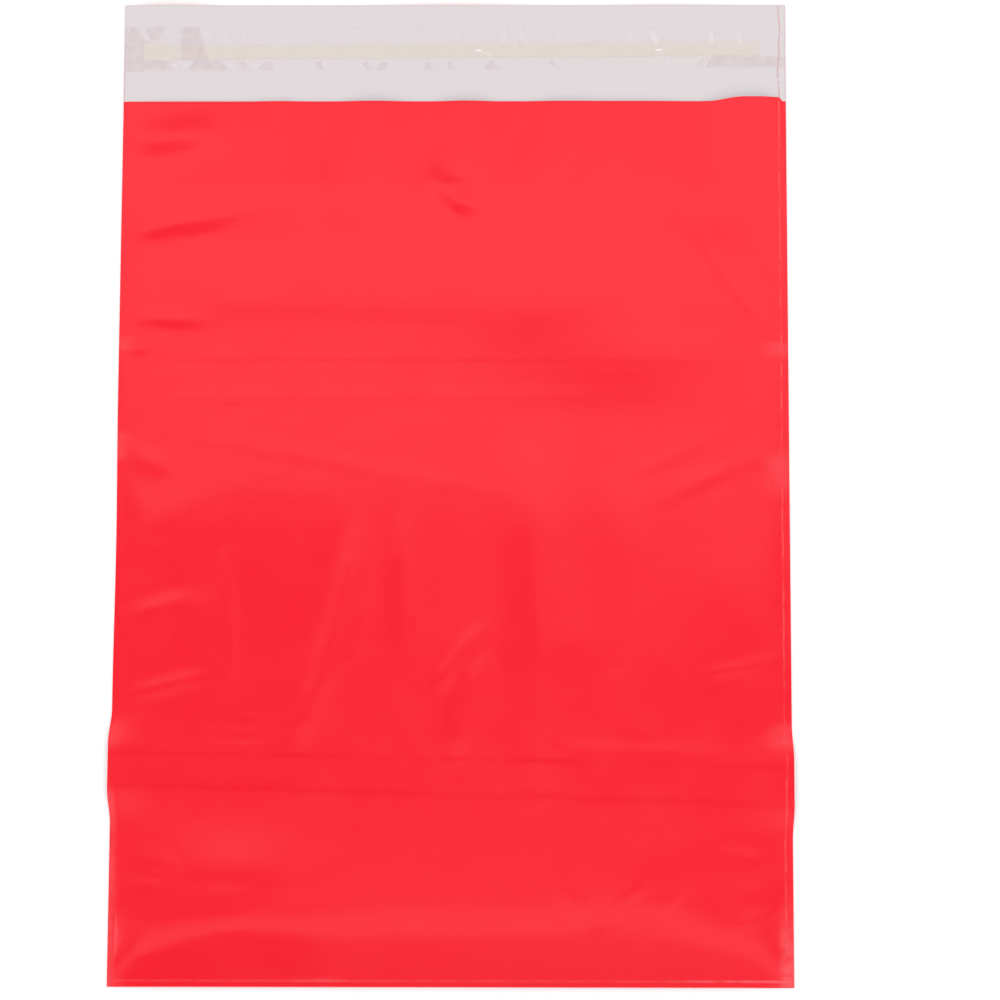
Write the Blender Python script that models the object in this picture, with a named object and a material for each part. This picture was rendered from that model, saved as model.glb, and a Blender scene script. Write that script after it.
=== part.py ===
"""Poly mailer bag, lying on its back with its flap open.

One length of thin film is folded once at the bottom and welded down both sides. The back wall runs
on past the pocket's lip as the flap, which carries an adhesive strip under a release liner.
Everything is in metres: +X runs across the bag, +Y from the bottom fold to the flap, +Z is up.
"""

import math

import bpy

# The bag: width over the cut edges, length of the pocket and of the flap, thickness of the film
BAG_WIDTH = 0.305
POCKET_LENGTH = 0.406
FLAP_LENGTH = 0.046
FILM = 0.00006

# Side welds: what each leaves outside it, up to the cut edge
LEFT_SELVAGE = 0.0018
RIGHT_SELVAGE = 0.0030

# The pocket, which holds a little air: its clear height in the middle, at the bottom fold and at the lip
POCKET_HEIGHT = 0.0090
FOLD_HEIGHT = 0.0011
LIP_HEIGHT = 0.0012
# How far the front wall takes to rise from the welds, the fold and the lip to that height
SIDE_RISE = 0.030
FOLD_RISE = 0.045
LIP_RISE = 0.040
# How far the bottom fold's bend reaches along the bag
FOLD_BEND = 0.0009

# The stretch of lip that stands open beside the right weld, and its falls to the lip and to the weld
OPEN_LIP_HEIGHT = 0.0082
OPEN_LIP_FROM_WELD = 0.027
OPEN_LIP_WIDTH = 0.011
OPEN_LIP_FALL = 0.015
OPEN_LIP_WELD_FALL = 0.0215

# The storage fold's band across the bag: two creases, and the lift of the welded edges between them
BAND_FROM_FOLD = 0.094
BAND_WIDTH = 0.016
BAND_FALL = 0.010
BAND_HEIGHT = 0.0012
BAND_EDGE_LIFT = 0.0045
BAND_EDGE_REACH = 0.019

# The shallow crease across the upper part of the pocket
CREASE_FROM_FOLD = 0.286
CREASE_HALF_WIDTH = 0.009
CREASE_DEPTH = 0.0003

# Broad swells of the front wall: place across and along the pocket as shares of its width and
# length, reach across and along as the same shares, and height in metres
SWELLS = (
    (0.50, 0.56, 0.75, 0.34, 0.0012),
    (0.30, 0.12, 0.26, 0.11, 0.0006),
    (0.72, 0.10, 0.24, 0.09, 0.0005),
    (0.20, 0.47, 0.16, 0.20, -0.0002),
    (0.47, 0.44, 0.09, 0.18, 0.0006),
    (0.64, 0.45, 0.08, 0.16, -0.0003),
    (0.80, 0.50, 0.12, 0.14, 0.0005),
    (0.70, 0.73, 0.22, 0.09, -0.0003),
    (0.32, 0.66, 0.28, 0.09, 0.0006),
    (0.52, 0.90, 0.12, 0.10, 0.0006),
)

# Adhesive strip on the flap, and the release liner that covers it from weld to weld
ADHESIVE_WIDTH = 0.0075
ADHESIVE_DEPTH = 0.0002
ADHESIVE_LEFT_STOP = 0.0086
ADHESIVE_RIGHT_STOP = 0.0120
ADHESIVE_END = 0.004
LINER_FILM = 0.00005
LINER_FROM_FLAP_EDGE = 0.0100
LINER_ABOVE_ADHESIVE = 0.0086
LINER_BELOW_ADHESIVE = 0.0040
LINER_STEP = 0.0012
# What lies on another piece keeps this much clear of it
LAY_GAP = 0.0003

# Mesh density: cells across each side rise and between them, and along each part of the length
SIDE_CELLS = 5
MIDDLE_CELLS = 11
OPEN_LIP_CELLS = 5
BEND_CELLS = 4
FOLD_CELLS = 5
BAND_CELLS = 8
BODY_CELLS = 13
LIP_CELLS = 5
FLAP_CELLS = 3

LENGTH = POCKET_LENGTH + FLAP_LENGTH
FOLD_Y = -LENGTH / 2
LIP_Y = FOLD_Y + POCKET_LENGTH
FLAP_EDGE_Y = LENGTH / 2
LEFT_WELD_X = -BAG_WIDTH / 2 + LEFT_SELVAGE
RIGHT_WELD_X = BAG_WIDTH / 2 - RIGHT_SELVAGE
POCKET_WIDTH = RIGHT_WELD_X - LEFT_WELD_X
OPEN_LIP_X = RIGHT_WELD_X - OPEN_LIP_FROM_WELD

FILM_RED = (0.93, 0.045, 0.075, 1.0)
FILM_GREY = (0.74, 0.71, 0.72, 1.0)
ADHESIVE_CREAM = (0.76, 0.69, 0.58, 1.0)
LINER_CLEAR = (0.80, 0.77, 0.78, 1.0)


def rise(distance, reach):
    """From 0 at a fixed edge to 1 at reach, steepest at the edge, as film leaves a weld."""
    return math.sin(math.pi / 2 * min(max(distance / reach, 0.0), 1.0))


def bump(offset, half_width):
    """A smooth hump: 1 at its middle, 0 from half_width outwards."""
    share = min(abs(offset) / half_width, 1.0)
    return 0.5 + 0.5 * math.cos(math.pi * share)


def plateau(offset, width, fall):
    """A flat-topped hump, as wide as width on top, that falls to 0 on each side."""
    return bump(max(abs(offset) - width / 2, 0.0), fall)


def mix(low, high, share):
    return low + (high - low) * share


def edge_lift(x, y):
    """Height of the back wall over the surface that the bag lies on: only its edges lift."""
    from_edge = BAG_WIDTH / 2 - abs(x)
    along = plateau(y - FOLD_Y - BAND_FROM_FOLD, BAND_WIDTH, BAND_FALL)
    return BAND_EDGE_LIFT * along * bump(from_edge, BAND_EDGE_REACH)


def lip_gap(x):
    """Clear height under the lip: low all along, but for the stretch that stands open."""
    low = LIP_HEIGHT * rise(x - LEFT_WELD_X, SIDE_RISE) * rise(RIGHT_WELD_X - x, SIDE_RISE)
    fall = OPEN_LIP_FALL if x < OPEN_LIP_X else OPEN_LIP_WELD_FALL
    return mix(low, OPEN_LIP_HEIGHT, plateau(x - OPEN_LIP_X, OPEN_LIP_WIDTH, fall))


def pocket_gap(x, y):
    """Clear height between the back wall and the front wall."""
    across = (x - LEFT_WELD_X) / POCKET_WIDTH
    from_fold = y - FOLD_Y
    height = POCKET_HEIGHT
    for swell_across, swell_along, reach_across, reach_along, swell_height in SWELLS:
        along = from_fold / POCKET_LENGTH - swell_along
        height += swell_height * bump(across - swell_across, reach_across) * bump(along, reach_along)
    height += BAND_HEIGHT * plateau(from_fold - BAND_FROM_FOLD, BAND_WIDTH, BAND_FALL)
    height -= CREASE_DEPTH * bump(from_fold - CREASE_FROM_FOLD, CREASE_HALF_WIDTH)
    height = mix(FOLD_HEIGHT, height, rise(from_fold - FOLD_BEND, FOLD_RISE))
    height *= rise(x - LEFT_WELD_X, SIDE_RISE) * rise(RIGHT_WELD_X - x, SIDE_RISE)
    return mix(lip_gap(x), height, rise(LIP_Y - y, LIP_RISE))


def spread(start, end, cells):
    """Evenly spaced values from start up to, but not including, end."""
    return [mix(start, end, step / cells) for step in range(cells)]


def column_places():
    """X of the film's columns: cut edge, weld, then across the pocket to the other cut edge."""
    left_rise_end = LEFT_WELD_X + SIDE_RISE
    open_lip_start = OPEN_LIP_X - OPEN_LIP_WIDTH / 2 - OPEN_LIP_FALL
    columns = [-BAG_WIDTH / 2]
    columns += spread(LEFT_WELD_X, left_rise_end, SIDE_CELLS)
    columns += spread(left_rise_end, open_lip_start, MIDDLE_CELLS)
    columns += spread(open_lip_start, RIGHT_WELD_X - SIDE_RISE, OPEN_LIP_CELLS)
    columns += spread(RIGHT_WELD_X - SIDE_RISE, RIGHT_WELD_X, SIDE_CELLS)
    return columns + [RIGHT_WELD_X, BAG_WIDTH / 2]


def row_places():
    """Rows from the bottom fold to the flap's edge, as (y, angle round the bend), and the lip's row."""
    band_start = FOLD_Y + BAND_FROM_FOLD - BAND_WIDTH / 2 - BAND_FALL
    band_end = band_start + BAND_WIDTH + 2 * BAND_FALL
    bend_end = FOLD_Y + FOLD_BEND
    rows = [(bend_end, math.pi / 2 * (1 - step / BEND_CELLS)) for step in range(BEND_CELLS)]
    flat = spread(bend_end, band_start, FOLD_CELLS)
    flat += spread(band_start, band_end, BAND_CELLS)
    flat += spread(band_end, LIP_Y - LIP_RISE, BODY_CELLS)
    flat += spread(LIP_Y - LIP_RISE, LIP_Y, LIP_CELLS)
    lip_row = len(rows) + len(flat)
    flat += spread(LIP_Y, FLAP_EDGE_Y, FLAP_CELLS) + [FLAP_EDGE_Y]
    return rows + [(y, 0.0) for y in flat], lip_row


class Film:
    """The film's surface as vertices and faces, with the outside and the inside told apart."""

    OUTSIDE, INSIDE = 0, 1

    def __init__(self):
        self.places = []
        self.faces = []
        self.sides = []

    def vertex(self, x, y, z):
        self.places.append((x, y, z))
        return len(self.places) - 1

    def face(self, corners, side):
        """Add a face, leaving out a corner that repeats where two rows or columns meet."""
        kept = []
        for corner in corners:
            if corner not in kept:
                kept.append(corner)
        if len(kept) > 2:
            self.faces.append(kept)
            self.sides.append(side)

    def cell(self, layer, column, row, side, up):
        """Two triangles over one cell, split the same way in every layer so that none cross."""
        low_left, low_right = layer[column, row], layer[column + 1, row]
        high_left, high_right = layer[column, row + 1], layer[column + 1, row + 1]
        for corners in ((low_left, low_right, high_right), (low_left, high_right, high_left)):
            self.face(corners if up else corners[::-1], side)


def film_layers(film, columns, rows, lip_row):
    """Vertices of the four layers: underside, pocket floor (then flap), pocket ceiling, top."""
    under, floor, ceiling, top = {}, {}, {}, {}
    last = len(columns) - 1
    for i, x in enumerate(columns):
        in_pocket = 0 < i < last
        at_weld = i in (1, last - 1)
        for j, (y, bend) in enumerate(rows):
            has_front = j <= lip_row
            gap = pocket_gap(x, y) if in_pocket and not at_weld and has_front else 0.0
            middle = edge_lift(x, y) + FILM + gap / 2
            inner = gap / 2 * math.cos(bend)
            outer = (gap / 2 + FILM) * math.cos(bend)
            outer_y = y - FOLD_BEND * math.sin(bend)
            inner_y = y - (FOLD_BEND - FILM) * math.sin(bend)
            at_tip = j == 0
            under[i, j] = film.vertex(x, outer_y, middle - outer)
            if has_front:
                top[i, j] = under[i, j] if at_tip else film.vertex(x, outer_y, middle + outer)
            if in_pocket or j >= lip_row:
                floor[i, j] = film.vertex(x, inner_y, middle - inner)
            if in_pocket and has_front:
                joined = at_weld or at_tip
                ceiling[i, j] = floor[i, j] if joined else film.vertex(x, inner_y, middle + inner)
    return under, floor, ceiling, top


def film_walls(film, layers, last, end, lip_row):
    """The layers' faces over every cell."""
    under, floor, ceiling, top = layers
    for i in range(last):
        in_pocket = 0 < i < last - 1
        for j in range(end):
            film.cell(under, i, j, film.OUTSIDE, up=False)
            if in_pocket or j >= lip_row:
                film.cell(floor, i, j, film.INSIDE, up=True)
            if j < lip_row:
                film.cell(top, i, j, film.OUTSIDE, up=True)
            if in_pocket and j < lip_row:
                film.cell(ceiling, i, j, film.INSIDE, up=False)


def film_rims(film, layers, last, end, lip_row):
    """The cut faces: down both sides, across the lip and across the flap's end."""
    under, floor, ceiling, top = layers
    for i, outward in ((0, -1), (last, 1)):
        for j in range(end):
            upper = top if j < lip_row else floor
            corners = [under[i, j], under[i, j + 1]]
            if j == lip_row - 1:
                corners.append(floor[i, lip_row])
            corners += [upper[i, j + 1], upper[i, j]]
            film.face(corners[::outward], film.OUTSIDE)
    for i in range(last):
        front_inside = ceiling if 0 < i < last - 1 else floor
        inside = [front_inside[i, lip_row], front_inside[i + 1, lip_row]]
        film.face([top[i, lip_row], top[i + 1, lip_row]] + inside[::-1], film.OUTSIDE)
        film.face([floor[i, end], floor[i + 1, end], under[i + 1, end], under[i, end]], film.OUTSIDE)


def material(name, colour, roughness, alpha=1.0):
    made = bpy.data.materials.new(name)
    made.use_nodes = True
    shader = made.node_tree.nodes["Principled BSDF"]
    shader.inputs["Base Color"].default_value = colour
    shader.inputs["Roughness"].default_value = roughness
    shader.inputs["Metallic"].default_value = 0.0
    shader.inputs["Alpha"].default_value = alpha
    return made


def add_object(name, places, faces, materials):
    mesh = bpy.data.meshes.new(name)
    mesh.from_pydata(places, [], faces)
    for made in materials:
        mesh.materials.append(made)
    mesh.shade_smooth()
    mesh.set_sharp_from_angle(angle=math.radians(40))
    made = bpy.data.objects.new(name, mesh)
    bpy.context.collection.objects.link(made)
    return made


def make_bag():
    """The folded and welded film: pocket, selvages, bottom fold and flap in one closed body."""
    columns = column_places()
    rows, lip_row = row_places()
    last, end = len(columns) - 1, len(rows) - 1
    film = Film()
    layers = film_layers(film, columns, rows, lip_row)
    film_walls(film, layers, last, end, lip_row)
    film_rims(film, layers, last, end, lip_row)
    skins = [material("film_outside", FILM_RED, 0.32), material("film_inside", FILM_GREY, 0.38)]
    bag = add_object("mailer_bag", film.places, film.faces, skins)
    bag.data.polygons.foreach_set("material_index", film.sides)


def sweep(sections):
    """Places and faces of a closed body through sections of equal point count, capped at both ends."""
    places = [place for section in sections for place in section]
    count = len(sections[0])
    faces = [list(range(count))[::-1]]
    for step in range(len(sections) - 1):
        for point in range(count):
            following = (point + 1) % count
            near, far = step * count, (step + 1) * count
            faces.append([near + point, near + following, far + following, far + point])
    faces.append([(len(sections) - 1) * count + point for point in range(count)])
    return places, faces


def make_adhesive():
    """A flat bead of hot-melt adhesive, crowned on top, that thins out at both ends."""
    start = -BAG_WIDTH / 2 + ADHESIVE_LEFT_STOP
    finish = BAG_WIDTH / 2 - ADHESIVE_RIGHT_STOP
    upper_edge = FLAP_EDGE_Y - LINER_FROM_FLAP_EDGE - LINER_ABOVE_ADHESIVE
    middle_y = upper_edge - ADHESIVE_WIDTH / 2
    base = FILM + LAY_GAP
    tapers = [(0.0, 0.45), (0.35, 0.80), (1.0, 1.0)]
    stations = [(start + ADHESIVE_END * share, width) for share, width in tapers]
    stations += [(finish - ADHESIVE_END * share, width) for share, width in tapers[::-1]]
    crown = [(0.5, 0.0), (0.5, 0.55), (0.3, 0.92), (0.0, 1.0), (-0.3, 0.92), (-0.5, 0.55), (-0.5, 0.0)]
    sections = []
    for x, width in stations:
        half = ADHESIVE_WIDTH * width
        sections.append([(x, middle_y + half * y, base + ADHESIVE_DEPTH * z) for y, z in crown])
    add_object("adhesive_strip", *sweep(sections), [material("adhesive", ADHESIVE_CREAM, 0.55)])


def make_liner():
    """The release liner: a thin strip that lies on the flap and steps up over the adhesive."""
    upper_y = FLAP_EDGE_Y - LINER_FROM_FLAP_EDGE
    step_top = upper_y - LINER_ABOVE_ADHESIVE + LAY_GAP
    step_bottom = upper_y - LINER_ABOVE_ADHESIVE - ADHESIVE_WIDTH - LAY_GAP
    lower_y = upper_y - LINER_ABOVE_ADHESIVE - ADHESIVE_WIDTH - LINER_BELOW_ADHESIVE
    low = FILM + LAY_GAP
    high = low + ADHESIVE_DEPTH + LAY_GAP
    underside = [
        (upper_y, low),
        (step_top + LINER_STEP, low),
        (step_top, high),
        (step_bottom, high),
        (step_bottom - LINER_STEP, low),
        (lower_y, low),
    ]
    section = underside[::-1] + [(y, z + LINER_FILM) for y, z in underside]
    sections = []
    for x in (LEFT_WELD_X, RIGHT_WELD_X):
        sections.append([(x, y, z) for y, z in section])
    liner = material("release_liner", LINER_CLEAR, 0.30, alpha=0.6)
    add_object("release_liner", *sweep(sections), [liner])


def main():
    for old in list(bpy.data.objects):
        bpy.data.objects.remove(old)
    make_bag()
    make_adhesive()
    make_liner()


main()
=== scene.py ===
"""Poly mailer bag: the looks of the folded and welded film, its adhesive strip and release liner.

Shapes are worked out in millimetres on the bag laid flat: across runs from the left cut edge and
along from the bottom fold. They become metres, in the frame's own axes, when a mesh is made.
"""

import math

import bpy
import numpy as np
from mathutils import Matrix, Vector


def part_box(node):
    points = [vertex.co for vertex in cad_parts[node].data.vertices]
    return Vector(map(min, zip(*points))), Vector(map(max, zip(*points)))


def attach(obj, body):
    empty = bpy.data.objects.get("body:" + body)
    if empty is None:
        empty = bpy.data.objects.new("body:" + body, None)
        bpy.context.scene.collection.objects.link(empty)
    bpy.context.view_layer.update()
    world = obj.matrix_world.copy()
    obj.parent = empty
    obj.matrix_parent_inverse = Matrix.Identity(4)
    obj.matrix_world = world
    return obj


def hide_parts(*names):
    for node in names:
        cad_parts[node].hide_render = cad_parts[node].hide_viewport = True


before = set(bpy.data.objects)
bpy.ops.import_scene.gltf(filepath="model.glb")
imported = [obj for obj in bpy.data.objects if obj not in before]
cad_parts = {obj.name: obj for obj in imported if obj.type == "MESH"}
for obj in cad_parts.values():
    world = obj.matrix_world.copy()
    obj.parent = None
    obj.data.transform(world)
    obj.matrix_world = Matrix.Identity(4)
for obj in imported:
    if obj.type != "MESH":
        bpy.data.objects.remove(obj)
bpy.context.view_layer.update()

MM = 0.001

# The bag, in millimetres
BAG_WIDTH = 305.0
POCKET_LENGTH = 406.0
BAG_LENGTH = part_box("mailer_bag")[1][1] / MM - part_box("mailer_bag")[0][1] / MM
FLAP_LENGTH = BAG_LENGTH - POCKET_LENGTH
FILM = 0.06
LEFT_WELD = 1.8
RIGHT_WELD = BAG_WIDTH - 3.0

# The pocket's clear height, and how far the front wall takes to rise from its edges
POCKET_HEIGHT = 9.6
FOLD_HEIGHT = 1.1
SIDE_RISE = 90.0
FOLD_RISE = 38.0
LIP_RISE = 58.0
FOLD_BEND = 0.9
# The side rise is shorter by this much at the bottom fold, and by less up to this place along
CORNER_SHORTER = 48.0
CORNER_REACH = 62.0
# The walls part by at least this much once they are this far from the welds
LEAST_GAP = 0.2
LEAST_GAP_RISE = 6.0

# Waves across the bag, as across, half width, height: of the rise over the fold, of the place of the
# front wall's crest, and of the flap's end, which lifts off the floor
FOLD_RISE_WAVES = ((42, 44, 5.0), (95, 34, -4.0), (235, 60, 3.0))
CREST_WAVES = ((10, 40, 5.0), (84, 45, -2.5), (185, 40, 2.0), (280, 50, 3.0))
FLAP_CURLS = ((22, 26, 1.6), (152, 50, 0.9), (250, 40, 0.5))

# The lip's clear height, and the waves it makes: across, half width, height
LIP_LOW = 0.3
LIP_SIDE_RISE = 12.0
LIP_WAVES = ((72, 15, 0.6), (115, 18, 1.3), (158, 16, 1.5), (205, 24, 1.0), (236, 30, 0.6))

# The stretch of lip that stands open, and how far its edge has slid towards the flap
OPEN_LIP_HEIGHT = 1.9
OPEN_LIP_ACROSS = 286.0
OPEN_LIP_WIDTH = 12.0
OPEN_LIP_FALL = 16.0
OPEN_LIP_WELD_FALL = 12.0
OPEN_LIP_SLIDE = 1.9
OPEN_LIP_SLIDE_FROM = OPEN_LIP_ACROSS - 8.0
OPEN_LIP_SLIDE_WIDTH = 16.0
OPEN_LIP_SLIDE_REACH = 22.0

# The storage fold's band, which slopes a little across the bag. The welded edges lift there, and
# they bulge sideways: width of the band and the falls beside it
BAND_ALONG = 95.0
BAND_SKEW = -0.023
BAND_LIFT = 0.8
BAND_LIFT_WIDTH = 14.0
BAND_LIFT_FALL = 18.0
BAND_LIFT_REACH = 24.0
BAND_BULGE_LEFT = 1.5
BAND_BULGE_RIGHT = 0.9
BAND_BULGE_WIDTH = 20.0
BAND_BULGE_FALL = 16.0

# The left edge is drawn in a little above the band. Both edges move with this much film beside them
INSET_ALONG = 200.0
INSET_REACH = 70.0
INSET_DEPTH = 0.45
EDGE_REACH = 30.0

# How the front wall climbs along the bag's middle line: place from the fold, slope in degrees
CLIMB = (
    (107, 0.0), (114, -0.2), (160, 0.0), (190, 0.2), (206, 0.2), (216, -0.5), (228, -1.8), (246, -1.8),
    (264, -1.5), (284, -1.4), (294, -0.9), (300, -0.2), (308, -0.4), (316, -1.2), (338, -1.2),
    (350, -0.3), (358, -0.4), (366, -1.0), (406, -1.2),
)
CLIMB_PITCH = 0.25
# The stretch of that climb that moves with the crest
CREST_ALONG = 225.0
CREST_WIDTH = 60.0
CREST_FALL = 50.0

# Steps across the bag, down if negative: place along, skew, width, height, from and to across
STEPS = (
    (86, BAND_SKEW, 3.4, -0.10, -50, 355),
    (89, BAND_SKEW, 4.0, -0.06, -50, 80),
    (101, BAND_SKEW, 3.4, -0.09, -50, 355),
    (106.5, BAND_SKEW, 5.0, -0.25, -50, 75),
    (109, BAND_SKEW, 9.0, -0.40, 200, 275),
    (282.5, -0.006, 1.8, 0.06, 3, 300),
    (304, -0.012, 12.0, 0.20, -40, 160),
)
STEP_FADE = 25.0

# Broad swells of the front wall: across, along, reach across, reach along, height, turn in degrees
SWELLS = (
    # Two dark clouds right of the middle
    (208, 312, 68, 37, 2.00, 4),
    (232, 284, 50, 26, 1.25, 3),
    # By the left weld, under the lip
    (22, 359, 39, 15, 0.5, 3),
    (75, 362, 55, 17, 0.5, 0),
    # Hollows under the lip, and a rise beside its open stretch
    (93, 385, 15, 30, -0.5, 0),
    (137, 378, 13, 28, -0.8, -15),
    (180, 385, 12, 30, -0.4, -18),
    (268, 355, 30, 25, 1.2, -40),
    # Over the bottom fold
    (56, 50, 34, 22, -1.2, 0),
    (237, 22, 50, 22, -0.7, 8),
    (285, 53, 27, 15, 0.5, 0),
    # Hollows beside the long folds, and by the left weld
    (67, 164, 25, 50, -0.6, 0),
    (17, 209, 32, 20, 0.5, 15),
    # Right of the long folds, over the band
    (280, 176, 50, 42, 0.8, 0),
    (222, 150, 40, 30, 0.4, 0),
)

# Folds: from (across, along) to (across, along), width, height, and how far they bow sideways
FOLDS = (
    # Puckers from the left weld
    (-16, 388, 46, 392, 12.0, 1.70, 0.0),
    (-4, 343, 54, 351, 6.5, 0.60, 0.0),
    (-3, 305, 43, 301, 4.1, 0.35, 0.0),
    (-3, 287, 14, 290, 3.2, 0.25, 0.0),
    (-4, 246, 26, 232, 6.4, 0.35, 0.0),
    (-3, 198, 31, 191, 8.2, 0.24, 1.8),
    (-2, 165, 34, 174, 4.5, 0.18, 0.0),
    (-2, 163, 45, 170, 9.1, 0.28, 0.0),
    (-2, 128, 46, 139, 5.5, 0.35, 0.0),
    (-2, 121, 98, 116, 5.0, 0.12, 0.0),
    (-2, 54, 30, 47, 3.6, 0.28, 0.0),
    (-2, 34, 94, 37, 6.0, -0.16, 0.0),
    # Long folds along the bag, in its lower half
    (51, 195, 53, 120, 6.0, 0.55, 0.0),
    (110, 206, 84, 108, 9.0, 1.00, 3.2),
    (112, 176, 98, 132, 4.5, 0.22, 1.5),
    (130, 210, 132, 150, 6.5, 0.52, 0.0),
    (146, 131, 168, 162, 6.5, 0.55, 1.0),
    (165, 148, 155, 100, 7.5, 0.80, -1.0),
    (188, 240, 194, 92, 17.0, 1.35, 2.0),
    (206, 192, 209, 138, 6.0, 0.20, -1.0),
    (232, 226, 240, 112, 18.0, 0.80, -2.0),
    (219, 142, 238, 146, 4.5, 0.20, 0.0),
    (265, 139, 305, 147, 4.0, 0.24, 0.0),
    # Fine diagonal folds
    (33, 248, 176, 221, 4.5, 0.10, 0.0),
    (231, 228, 267, 246, 4.5, 0.13, 0.0),
    (244, 216, 278, 233, 4.5, 0.13, 0.0),
    (246, 222, 303, 243, 5.5, 0.15, 0.0),
    (261, 352, 301, 296, 3.2, 0.22, -4.5),
    (232, 354, 257, 329, 3.2, 0.20, 0.0),
    (289, 381, 300, 329, 2.4, 0.28, 1.8),
    (294, 372, 303, 362, 2.2, 0.2, 0.0),
    (292, 345, 303, 352, 2.2, 0.2, 0.0),
    (213, 23, 237, 44, 3.2, 0.18, 0.0),
    (222, 27, 247, 38, 3.0, 0.16, 0.0),
    (200, 45, 221, 24, 3.2, 0.16, 0.0),
    (237, 25, 262, 48, 3.2, 0.18, 0.0),
    (277, 26, 304, 36, 3.6, 0.25, 0.0),
    (265, 60, 306, 55, 3.6, 0.12, 0.0),
    (27, 64, 36, 50, 3.2, 0.18, 0.0),
    # Soft folds across the bag
    (5, 265, 265, 267, 4.0, 0.07, 0.0),
    (-4, 364, 146, 365, 4.0, 0.10, 0.0),
    (156, 364, 238, 366, 4.0, 0.10, 0.0),
    # A pinch below the lip
    (147, 366, 158, 365, 2.2, 0.50, 0.0),
    (142, 371, 164, 353, 6.0, 0.90, -2.0),
)

# At their reach or width, swells and folds are down to a ninth of their height. A fold also fades
# towards both ends: the middle and the width of that fade are shares of its length
SIDE_FALL = 2.2
END_FADE = 0.08
END_FADE_WIDTH = 0.4
# Swells and folds reach their full height this far from the welds, the bottom fold and the lip
CREASES_FROM_WELD = 26.0
CREASES_FROM_FOLD = 22.0
CREASES_FROM_LIP = 30.0

# Release liner and adhesive strip, measured down from the flap's cut edge
LINER_TOP = 9.4
LINER_WIDTH = 21.6
LINER_LIE = 0.03
LINER_FILM = 0.04
LINER_SIDE_GAP = 0.15
LINER_OVER_ADHESIVE = 0.06
LINER_STEP_FALL = 1.4
LINER_WAVE = 0.05
ADHESIVE_TOP = 18.2
ADHESIVE_WIDTH = 7.2
ADHESIVE_LEFT = 8.4
ADHESIVE_RIGHT = 292.6
ADHESIVE_DEPTH = 0.2
ADHESIVE_RIPPLE = 0.02
# Both run a little nearer to the flap's end on the right
STRIP_SKEW = 0.0062
# The adhesive's thick start on the left: its width and fall. Nicks in its lower edge are waves
START_WIDTH = 16.0
START_FALL = 6.0
ADHESIVE_NICKS = ((17, 3, 0.7), (110, 2.5, 0.5), (118, 3, 0.5))

# Where the liner touches the flap: across at its top, across at its bottom, along top and bottom
CONTACTS = (
    (-1, 5.6, -1, 12.0, 443, 433.6),
    (-1, 9.0, -1, 9.0, 434.4, 419),
    (8.2, 18.2, 12.2, 14.8, 441.4, 434.6),
    (25.5, 34.2, 26.6, 39.0, 441.4, 425.4),
    (2, 23.0, 2, 25.5, 425.4, 421.1),
    (32.5, 45.5, 29.5, 48.0, 425.6, 421.0),
    (52.5, 56.0, 54.6, 57.0, 425.0, 420.9),
    (64.6, 68.0, 61.4, 69.5, 425.0, 420.9),
    (87.5, 91.2, 90.0, 92.4, 425.0, 421.0),
    (109.5, 112.8, 111.8, 115.2, 424.8, 420.9),
    (118.6, 121.4, 116.2, 120.4, 424.8, 420.9),
    (140.0, 142.0, 138.0, 143.0, 424.8, 421.0),
    (149, 151.0, 149.6, 151.6, 424.8, 421.2),
    (167.6, 170.4, 165.8, 173.0, 425.2, 420.7),
    (195.6, 198.0, 199.0, 201.6, 425.2, 421.2),
    (267, 269.4, 263.0, 266.2, 427.0, 421.8),
    (271.5, 306, 267.5, 306, 427.6, 422.2),
)
CONTACT_EDGE = 0.9

# Light streaks where the liner is folded, partly raised film and partly painted highlight: from (across,
# along) to (across, along), width, strength
STREAKS = (
    (6.2, 440.5, 12.0, 434.5, 2.2, 0.5), (21.0, 439.0, 23.0, 434.5, 2.4, 0.35),
    (20.5, 425.0, 25.5, 421.5, 2.0, 0.6), (30.0, 425.0, 27.5, 421.5, 1.8, 0.5),
    (47.5, 425.0, 50.5, 421.0, 2.0, 0.5), (58.0, 424.8, 61.0, 421.0, 1.8, 0.4),
    (67.5, 424.8, 64.5, 421.0, 1.8, 0.3), (92.5, 424.8, 94.5, 421.4, 1.8, 0.35),
    (107.5, 424.8, 110.5, 421.4, 1.8, 0.35), (38.5, 441.4, 40.0, 433.4, 2.2, 0.30),
    (47.0, 441.4, 47.5, 433.4, 1.6, 0.28), (55.5, 441.4, 55.0, 433.4, 1.6, 0.30),
    (62.5, 441.4, 63.5, 433.4, 1.8, 0.25), (67.5, 441.4, 67.0, 433.4, 1.4, 0.22),
    (77.5, 441.4, 78.0, 433.4, 1.6, 0.25), (86.0, 441.4, 86.5, 433.4, 2.0, 0.18),
    (96.0, 441.4, 96.0, 433.4, 1.8, 0.20), (152.5, 441.0, 153.0, 432.6, 2.0, 0.30),
    (157.5, 441.0, 158.0, 432.6, 1.5, 0.22), (175.8, 440.8, 175.2, 432.4, 1.9, 0.55),
    (183.5, 440.8, 183.6, 432.4, 1.6, 0.40), (200.0, 440.8, 200.2, 432.4, 1.7, 0.40),
    (233.5, 440.6, 233.8, 432.2, 1.9, 0.40), (243.2, 440.6, 246.4, 432.2, 3.0, 0.60),
    (271.0, 440.4, 271.4, 432.0, 2.0, 0.60), (284.0, 440.4, 283.8, 432.0, 2.0, 0.60),
    (251.0, 426.5, 250.5, 422.5, 1.6, 0.30), (268.4, 427.0, 265.4, 422.2, 1.1, 0.55),
    (186.0, 425.0, 187.5, 421.4, 2.0, 0.20), (162.0, 425.0, 163.0, 421.4, 1.8, 0.25),
)
STREAK_HEIGHT = 0.02

# Small glints on the liner over the adhesive: across, along, half length, half width
GLINTS = (
    (163.4, 430.2, 2.2, 0.45), (246.6, 430.4, 2.6, 0.40), (168.9, 428.0, 0.6, 0.5), (188.0, 429.2, 0.5, 0.5),
)
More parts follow.
